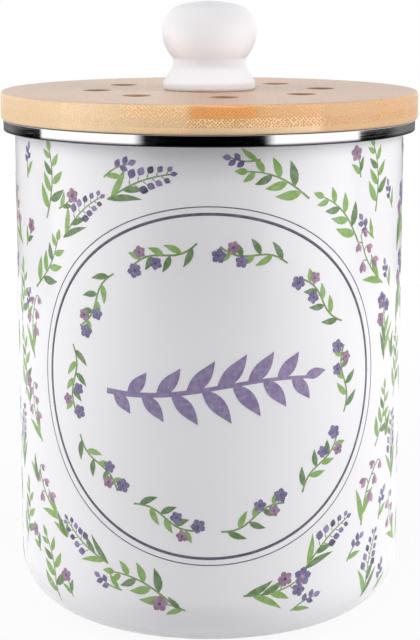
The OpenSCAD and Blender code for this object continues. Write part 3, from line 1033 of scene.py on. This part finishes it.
# Lays a flat drawing round the can: X runs round the wall, Y up it and on under the bend, Z stands off it
def makeWrapTree():
    tree, add, given, result = newGeometryTree("wrap round the can", {
        "Geometry": "Geometry", "Float": "Wall Radius, Bend Radius",
    })
    position = add("GeometryNodeInputPosition")
    flat = add("ShaderNodeSeparateXYZ", {0: position}).outputs
    wall, bend = given["Wall Radius"], given["Bend Radius"]
    below = add("ShaderNodeMath", {0: bend, 1: flat["Y"]}, operation="SUBTRACT")
    under = add("ShaderNodeMath", {0: below, 1: 0.0}, operation="MAXIMUM")
    bentBy = add("ShaderNodeMath", {0: under, 1: bend}, operation="DIVIDE")
    reach = add("ShaderNodeMath", {0: bend, 1: flat["Z"]}, operation="ADD")
    arm = add("ShaderNodeCombineXYZ", {"Y": reach})
    bentArm = add("ShaderNodeVectorRotate", {
        "Vector": arm, "Angle": bentBy,
    }, rotation_type="X_AXIS", invert=True)
    foot = add("ShaderNodeMath", {0: wall, 1: bend}, operation="SUBTRACT")
    height = add("ShaderNodeMath", {0: flat["Y"], 1: bend}, operation="MAXIMUM")
    elbow = add("ShaderNodeCombineXYZ", {"Y": foot, "Z": height})
    upright = add("ShaderNodeVectorMath", {0: elbow, 1: bentArm}, operation="ADD")
    turnBy = add("ShaderNodeMath", {0: flat["X"], 1: wall}, operation="DIVIDE")
    fromFront = add("ShaderNodeMath", {0: turnBy, 1: math.pi}, operation="ADD")
    wrapped = add("ShaderNodeVectorRotate", {"Vector": upright, "Angle": fromFront}, rotation_type="Z_AXIS")
    laid = add("GeometryNodeSetPosition", {"Geometry": given["Geometry"], "Position": wrapped})
    feed(result, {"Geometry": laid})
    return tree


def wrapAndFinish(add, given, result, wrapTree, geometry):
    solid = add("GeometryNodeRealizeInstances", {0: geometry})
    wrapped = add("GeometryNodeGroup", {
        "Geometry": solid, "Wall Radius": given["Wall Radius"], "Bend Radius": given["Bend Radius"],
    }, node_tree=wrapTree)
    inked = add("GeometryNodeSetMaterial", {"Geometry": wrapped, "Material": given["Material"]})
    feed(result, {"Geometry": inked})


# Scatters motifs in a half-drop repeat round the wall, and leaves the medallion free
def makeScatterTree(wrapTree):
    tree, add, given, result = newGeometryTree("scatter sprigs", {
        "Collection": "Motifs",
        "Int": "Columns, Rows, Seed",
        "Vector": "Grid Size, Half Drop, Middle, Medallion Middle, Medallion Half",
        "Float": "Jitter, Turn, Top Limit, Push From, Closest, Wall Radius, Bend Radius",
        "Material": "Material",
    })
    size = add("ShaderNodeSeparateXYZ", {0: given["Grid Size"]}).outputs
    grid = add("GeometryNodeMeshGrid", {
        "Size X": size["X"],
        "Size Y": size["Y"],
        "Vertices X": given["Columns"],
        "Vertices Y": given["Rows"],
    })
    dropped = add("GeometryNodeTransform", {"Geometry": grid, "Translation": given["Half Drop"]})
    both = add("GeometryNodeJoinGeometry", {0: grid})
    feed(both, {0: dropped})
    points = add("GeometryNodeMeshToPoints", {"Mesh": both})
    spread = add("FunctionNodeRandomValue", {
        0: (-1, -1, 0), 1: (1, 1, 0), "Seed": given["Seed"],
    }, data_type="FLOAT_VECTOR")
    moved = add("ShaderNodeVectorMath", {
        0: spread, 1: given["Jitter"], 2: given["Middle"],
    }, operation="MULTIPLY_ADD")
    placed = add("GeometryNodeSetPosition", {"Geometry": points, "Offset": moved})
    position = add("GeometryNodeInputPosition")
    aside = add("ShaderNodeVectorMath", {0: position, 1: given["Medallion Middle"]}, operation="SUBTRACT")
    scaled = add("ShaderNodeVectorMath", {0: aside, 1: given["Medallion Half"]}, operation="DIVIDE")
    away = add("ShaderNodeVectorMath", {0: scaled}, operation="LENGTH").outputs["Value"]
    inside = add("ShaderNodeMath", {0: away, 1: given["Push From"]}, operation="LESS_THAN")
    high = add("ShaderNodeSeparateXYZ", {0: position}).outputs["Y"]
    above = add("ShaderNodeMath", {0: high, 1: given["Top Limit"]}, operation="GREATER_THAN")
    left = add("ShaderNodeMath", {0: inside, 1: above}, operation="MAXIMUM")
    kept = add("GeometryNodeDeleteGeometry", {"Geometry": placed, "Selection": left}, domain="POINT")
    share = add("ShaderNodeMath", {0: 1.0, 1: away}, operation="DIVIDE")
    push = add("ShaderNodeMath", {0: share, 1: 1.0}, operation="MAXIMUM")
    # what stands on the ring's margin moves out to its edge
    pushed = add("ShaderNodeVectorMath", {
        0: aside, 1: push, 2: given["Medallion Middle"],
    }, operation="MULTIPLY_ADD")
    edged = add("GeometryNodeSetPosition", {"Geometry": kept, "Position": pushed})
    spaced = add("GeometryNodeMergeByDistance", {"Geometry": edged, "Distance": given["Closest"]})
    tangent = add("ShaderNodeVectorMath", {0: (0, 0, 1), 1: scaled}, operation="CROSS_PRODUCT")
    across = add("ShaderNodeSeparateXYZ", {0: scaled}).outputs["X"]
    side = add("ShaderNodeMath", {0: across}, operation="SIGN")
    upward = add("ShaderNodeVectorMath", {0: tangent, "Scale": side}, operation="SCALE")
    along = add("FunctionNodeAlignRotationToVector", {"Vector": upward}, axis="Y")
    near = add("ShaderNodeMapRange", {0: away, 1: 1.08, 2: 1.3, 3: 1, 4: 0})
    motifs = add("GeometryNodeCollectionInfo", {
        "Collection": given["Motifs"], "Separate Children": True, "Reset Children": True,
    })
    turned = add("FunctionNodeRandomValue", {
        0: (0, 0, -1), 1: (0, 0, 1), "Seed": given["Seed"],
    }, data_type="FLOAT_VECTOR")
    leaning = add("ShaderNodeVectorMath", {0: turned, "Scale": given["Turn"]}, operation="SCALE")
    loose = add("FunctionNodeEulerToRotation", {0: leaning})
    turn = add("ShaderNodeMix", {0: near, 8: loose, 9: along}, data_type="ROTATION")
    pick = add("FunctionNodeRandomValue", {4: 0, 5: 31, "Seed": given["Seed"]}, data_type="INT")
    scale = add("FunctionNodeRandomValue", {2: 0.9, 3: 1.06, "Seed": given["Seed"]}, data_type="FLOAT")
    sprigs = add("GeometryNodeInstanceOnPoints", {
        "Points": spaced,
        "Instance": motifs,
        "Pick Instance": True,
        "Instance Index": pick.outputs[2],
        "Rotation": turn.outputs[3],
        "Scale": scale.outputs[1],
    })
    wrapAndFinish(add, given, result, wrapTree, sprigs)
    return tree


def addOval(add, given, steps):
    circle = add("GeometryNodeCurvePrimitiveCircle", {"Resolution": steps, "Radius": 1.0}, mode="RADIUS")
    return add("GeometryNodeTransform", {
        "Geometry": circle, "Translation": given["Middle"], "Scale": given["Half Size"],
    })


# Strings garland pieces along an oval inside the medallion
def makeWreathTree(wrapTree):
    tree, add, given, result = newGeometryTree("string wreath", {
        "Collection": "Motifs",
        "Int": "Count, Seed",
        "Vector": "Half Size, Middle",
        "Float": "Wall Radius, Bend Radius",
        "Material": "Material",
    })
    oval = addOval(add, given, 96)
    points = add("GeometryNodeCurveToPoints", {"Curve": oval, "Count": given["Count"]}, mode="COUNT")
    along = add("FunctionNodeAlignRotationToVector", {"Vector": points.outputs["Tangent"]}, axis="X")
    lean = add("FunctionNodeRandomValue", {2: -0.16, 3: 0.16, "Seed": given["Seed"]}, data_type="FLOAT")
    leaning = add("ShaderNodeCombineXYZ", {2: lean.outputs[1]})
    turned = add("FunctionNodeRotateRotation", {
        "Rotation": along, "Rotate By": leaning,
    }, rotation_space="LOCAL")
    motifs = add("GeometryNodeCollectionInfo", {
        "Collection": given["Motifs"], "Separate Children": True, "Reset Children": True,
    })
    index = add("GeometryNodeInputIndex")
    pieces = add("GeometryNodeInstanceOnPoints", {
        "Points": points.outputs["Points"],
        "Instance": motifs,
        "Pick Instance": True,
        "Instance Index": index,
        "Rotation": turned,
    })
    wrapAndFinish(add, given, result, wrapTree, pieces)
    return tree


# Draws an oval line of a given width
def makeRingTree(wrapTree):
    tree, add, given, result = newGeometryTree("oval line", {
        "Vector": "Half Size, Middle",
        "Float": "Line Width, Line Height, Wall Radius, Bend Radius",
        "Material": "Material",
    })
    oval = addOval(add, given, 256)
    section = add("GeometryNodeCurvePrimitiveQuadrilateral", {
        "Width": given["Line Width"], "Height": given["Line Height"],
    })
    line = add("GeometryNodeCurveToMesh", {"Curve": oval, "Profile Curve": section})
    wrapAndFinish(add, given, result, wrapTree, line)
    return tree


# Lays one drawing on the wall at its place
def makePlaceTree(wrapTree):
    tree, add, given, result = newGeometryTree("place drawing", {
        "Geometry": "Geometry",
        "Vector": "Middle",
        "Float": "Wall Radius, Bend Radius",
        "Material": "Material",
    })
    moved = add("GeometryNodeTransform", {"Geometry": given["Geometry"], "Translation": given["Middle"]})
    wrapAndFinish(add, given, result, wrapTree, moved)
    return tree


# Ceramic decal ink, fired on: flat and a little duller than the enamel, with the uneven tone of a brush wash.
# The colour is the mesh's own where none is given
def makeInk(name, v, wash, colour=None):
    material, add, principled = newMaterial(name, {"Roughness": 0.3, "IOR": 1.5})
    place = add("ShaderNodeTexCoord").outputs["Object"]
    cloud = add("ShaderNodeTexNoise", {"Vector": place, "Scale": 1000 / v["washSize"], "Detail": 2})
    thin = add("ShaderNodeMapRange", {0: cloud, 1: 0.35, 2: 0.65, 3: 0.0, 4: wash})
    full = linear(colour) if colour else add("ShaderNodeAttribute", attribute_name="ink")
    washed = add("ShaderNodeMix", {0: thin, 6: full, 7: linear(v["washTone"])}, data_type="RGBA")
    feed(principled, {"Base Color": washed.outputs[2]})
    return material


def makePrint(v, can):
    wall = {"Wall Radius": can["radius"] * mm, "Bend Radius": can["bendRadius"] * mm}
    wrapTree = makeWrapTree()
    scatterTree = makeScatterTree(wrapTree)
    sprigInk = makeInk("decal ink, fired sprig colours", v, v["sprigWash"])
    lineInk = makeInk("decal ink, fired slate violet", v, v["lineWash"], inks["ring"])
    pitch = 2 * math.pi * can["radius"] / v["columns"]
    middle = (0, v["medallionHeight"] * mm, 0)
    halfW, halfH = v["outerRing"][:2]
    tall = motifCollection("tall", [blossomStem, berryStem, leafSpray, bellStem])
    small = motifCollection("small", [smallBlossom, smallBuds, smallLeaves])
    wreath = motifCollection("wreath", [garland, garlandTurned])
    pieces = []
    sprigLow = v["lowestRow"]
    fillerLow = sprigLow - v["rowPitch"] / 4
    for name, motifs, rows, lowest, aside, turn, top, gap, seed in (
            ("printSprigs", tall, v["rows"], sprigLow, 0, v["turn"], v["sprigTop"], v["sprigGap"], 4),
            ("printFillers", small, v["rows"] + 1, fillerLow, pitch, v["fillerTurn"], v["fillerTop"],
             v["fillerGap"], 11)):
        across = 2 * pitch * (v["columns"] // 2 - 1)
        up = v["rowPitch"] * (rows - 1)
        pieces.append(runTree(name, scatterTree, {
            "Motifs": motifs,
            "Columns": v["columns"] // 2,
            "Rows": rows,
            "Grid Size": (across * mm, up * mm, 0),
            "Half Drop": (pitch * mm, v["rowPitch"] / 2 * mm, 0),
            "Middle": (aside / 2 * mm, (lowest + up / 2) * mm, 0),
            "Jitter": v["jitter"] * mm,
            "Turn": math.radians(turn),
            "Top Limit": top * mm,
            "Medallion Middle": middle,
            "Medallion Half": ((halfW + gap) * mm, (halfH + gap) * mm, 1),
            "Push From": v["pushFrom"],
            "Closest": v["closest"] * mm,
            "Seed": seed,
            "Material": sprigInk,
            **wall,
        }))
    pieces.append(runTree("printWreath", makeWreathTree(wrapTree), {
        "Motifs": wreath,
        "Count": v["wreathCount"],
        "Half Size": (v["wreath"][0] * mm, v["wreath"][1] * mm, 1),
        "Middle": middle,
        "Seed": 5,
        "Material": sprigInk,
        **wall,
    }))
    ringTree = makeRingTree(wrapTree)
    for name, (across, up, width) in (("outerLine", v["outerRing"]), ("innerLine", v["innerRing"])):
        pieces.append(runTree(name, ringTree, {
            "Half Size": (across * mm, up * mm, 1),
            "Middle": middle,
            "Line Width": width * mm,
            "Line Height": 2 * v["rise"] * mm,
            "Material": lineInk,
            **wall,
        }))
    drawing = linkObject("middleTwigFlat", shapeMesh("middleTwigFlat", middleTwig))
    placeTree = makePlaceTree(wrapTree)
    pieces.append(runTree("middleTwig", placeTree, {"Middle": middle, "Material": sprigInk, **wall}, drawing))
    for collection in (tall, small, wreath):
        for motif in list(collection.objects):
            bpy.data.objects.remove(motif)
        bpy.data.collections.remove(collection)
    for piece in pieces:
        turnOutwards(piece.data)
        finishPiece(piece, "can", None)


makePrint(printValues, canValues)
print("print fired on")


# Floor, world and lamps: a white sweep, tall softboxes at the sides, and cards that only the gloss sees

stageValues = {
    "floorRadius": 12.0,
    "floorColour": "#DADADC",
    "floorGlow": 0.93,  # share of plain white in the floor near the object, the rest keeps its shadow
    "glowFades": (0.15, 0.8),  # further out than this the floor is plain white
    "floorCorners": 64,
    "cardSteps": 16,
    "worldLight": 0.04,
}

lamps = {  # azimuth from the front, distance, height of the middle, width and height, power in watts, extras
    "sideLeft": (-78, 0.95, 0.62, (0.6, 1.2), 9.3, {}),
    "sideRight": (72, 0.95, 0.62, (0.6, 1.2), 10.7, {}),
    "highLeft": (-50, 0.8, 1.05, (0.5, 0.5), 1.8, {"aim": 0.11}),
    "highRight": (50, 0.8, 1.05, (0.5, 0.5), 0.5, {"aim": 0.11}),
    "steepFront": (0, 0.44, 1.2, (0.5, 0.16), 2.5, {"aim": 0.11}),
    "lidBand": (0, 0.5, 0.2275, (0.2, 0.046), 0.0072, {"spread": 1}),
    "footBand": (0, 0.5, 0.2215, (0.12, 0.01), 0.001, {"spread": 1}),
    "headBand": (0, 0.5, 0.143, (0.12, 0.012), 0.0016, {"aim": 0.235, "spread": 1}),
    "lowBack": (180, 1.1, 0.32, (1.2, 0.5), 3.4, {}),
    "sideBackLeft": (-135, 1.1, 0.4, (0.6, 0.7), 2.3, {}),
    "sideBackRight": (135, 1.1, 0.4, (0.6, 0.7), 2.3, {}),
}  # a lamp with an aim leans towards that height on the axis

cards = {  # first and last azimuth, distance, height, glow, and how much of each end fades out
    "flagFront": (-40, 35, 0.8, 0.24, 0.0, 0.1, 0.1),
    "whiteLeft": (-102, -30, 0.9, 0.24, 1.45, 0.01, 0.01),
    "whiteRight": (28, 90, 0.9, 0.24, 1.45, 0.01, 0.01),
    "flagLeft": (-140, -98, 0.8, 0.14, 0.0, 0.6, 0.1),
    "flagRight": (83, 126, 0.8, 0.14, 0.0, 0.1, 0.5),
    "greyLeft": (-180, -100, 0.85, 0.14, 0.22, 0.02, 0.02),
    "greyRight": (88, 180, 0.85, 0.14, 0.22, 0.02, 0.02),
}


# A value that counts only before the path has met a dull surface, so that a mirror throws none of it there
def beforeDiffuse(add, value):
    path = add("ShaderNodeLightPath").outputs
    first = add("ShaderNodeMath", {0: path["Diffuse Depth"], 1: 0.5}, operation="LESS_THAN")
    return add("ShaderNodeMath", {0: value, 1: first}, operation="MULTIPLY")


# White to the camera, also by way of metal or glass, and no light from it on the enamel by way of the ring
def whiteToCamera(add):
    path = add("ShaderNodeLightPath").outputs
    seen = add("ShaderNodeMath", {0: path["Is Camera Ray"], 1: path["Is Glossy Ray"]}, operation="ADD")
    clear = add("ShaderNodeMath", {0: seen, 1: path["Is Transmission Ray"]}, operation="ADD", use_clamp=True)
    return beforeDiffuse(add, clear)


def makeWorld(v):
    world = bpy.data.worlds.new("studio")
    bpy.context.scene.world = world
    world.use_nodes = True
    world.node_tree.nodes.clear()
    add = partial(addNode, world.node_tree)
    light = add("ShaderNodeBackground", {"Color": (1, 1, 1, 1), "Strength": v["worldLight"]})
    white = add("ShaderNodeBackground", {"Color": (1, 1, 1, 1), "Strength": 1.0})
    mixed = add("ShaderNodeMixShader", {0: whiteToCamera(add), 1: light, 2: white})
    add("ShaderNodeOutputWorld", {"Surface": mixed})


def makeFloor(v):
    material, add, principled = newMaterial("pale sweep", {
        "Base Color": linear(v["floorColour"]), "Roughness": 1.0, "Specular IOR Level": 0.0,
    })
    glow = add("ShaderNodeEmission", {"Color": (1, 1, 1, 1), "Strength": 1.0})
    place = add("ShaderNodeTexCoord").outputs["Object"]
    away = add("ShaderNodeVectorMath", {0: place}, operation="LENGTH").outputs["Value"]
    share = add("ShaderNodeMapRange", {
        0: away, 1: v["glowFades"][0], 2: v["glowFades"][1], 3: v["floorGlow"], 4: 1.0,
    }, interpolation_type="SMOOTHSTEP")
    seen = add("ShaderNodeMath", {0: whiteToCamera(add), 1: share}, operation="MULTIPLY")
    mixed = add("ShaderNodeMixShader", {0: seen, 1: principled, 2: glow})
    feed(material.node_tree.nodes["Material Output"], {"Surface": mixed})
    radius, corners = v["floorRadius"], v["floorCorners"]
    angles = [2 * math.pi * i / corners for i in range(corners)]
    mesh = bpy.data.meshes.new("floor")
    mesh.from_pydata([(radius * math.cos(a), radius * math.sin(a), 0) for a in angles], [], [range(corners)])
    floor = linkObject("floor", mesh)
    mesh.materials.append(material)


def around(azimuth, distance, height):
    a = math.radians(azimuth)
    return (distance * math.sin(a), -distance * math.cos(a), height)


def makeLamp(name, azimuth, distance, rise, size, power, aim=None, spread=180):
    data = bpy.data.lights.new(name, "AREA")
    data.shape = "RECTANGLE"
    data.size, data.size_y = size
    data.energy = power
    data.spread = math.radians(spread)
    lamp = linkObject(name, data)
    lamp.location = around(azimuth, distance, rise)
    drop = rise - aim if aim else 0
    lamp.rotation_euler = (math.atan2(distance, drop), 0, math.radians(azimuth))
    lamp.visible_camera = False
    lamp.visible_glossy = False  # the cards are what the gloss sees


def makeCard(name, steps, first, last, distance, height, glow, fadeIn, fadeOut):
    material, add = newMaterial(name, {})[:2]
    material.node_tree.nodes.clear()
    grey = add("ShaderNodeEmission", {"Color": (1, 1, 1, 1), "Strength": glow})
    clear = add("ShaderNodeBsdfTransparent")
    place = add("ShaderNodeUVMap", uv_map="UVMap")
    across = add("ShaderNodeSeparateXYZ", {0: place}).outputs["X"]
    starts = add("ShaderNodeMapRange", {0: across, 1: 0.0, 2: fadeIn}, interpolation_type="SMOOTHSTEP")
    ends = add("ShaderNodeMapRange", {0: across, 1: 1.0, 2: 1.0 - fadeOut}, interpolation_type="SMOOTHSTEP")
    cover = add("ShaderNodeMath", {0: starts, 1: ends}, operation="MULTIPLY")
    mixed = add("ShaderNodeMixShader", {0: beforeDiffuse(add, cover), 1: clear, 2: grey})
    add("ShaderNodeOutputMaterial", {"Surface": mixed})
    turns = [first + (last - first) * i / steps for i in range(steps + 1)]
    corners = [around(turn, distance, level) for level in (0.0, height) for turn in turns]
    mesh = bpy.data.meshes.new(name)
    mesh.from_pydata(corners, [], [(i, i + 1, steps + 2 + i, steps + 1 + i) for i in range(steps)])
    layer = mesh.uv_layers.new(name="UVMap")
    for loop in mesh.loops:
        row, column = divmod(loop.vertex_index, steps + 1)
        layer.data[loop.index].uv = (column / steps, row)
    mesh.materials.append(material)
    card = linkObject(name, mesh)
    for ray in ("camera", "diffuse", "transmission", "volume_scatter", "shadow"):
        setattr(card, "visible_" + ray, False)


makeWorld(stageValues)
makeFloor(stageValues)
for lampName, (*lampSettings, extras) in lamps.items():
    makeLamp(lampName, *lampSettings, **extras)
for cardName, cardSettings in cards.items():
    makeCard(cardName, stageValues["cardSteps"], *cardSettings)
print("studio lit")
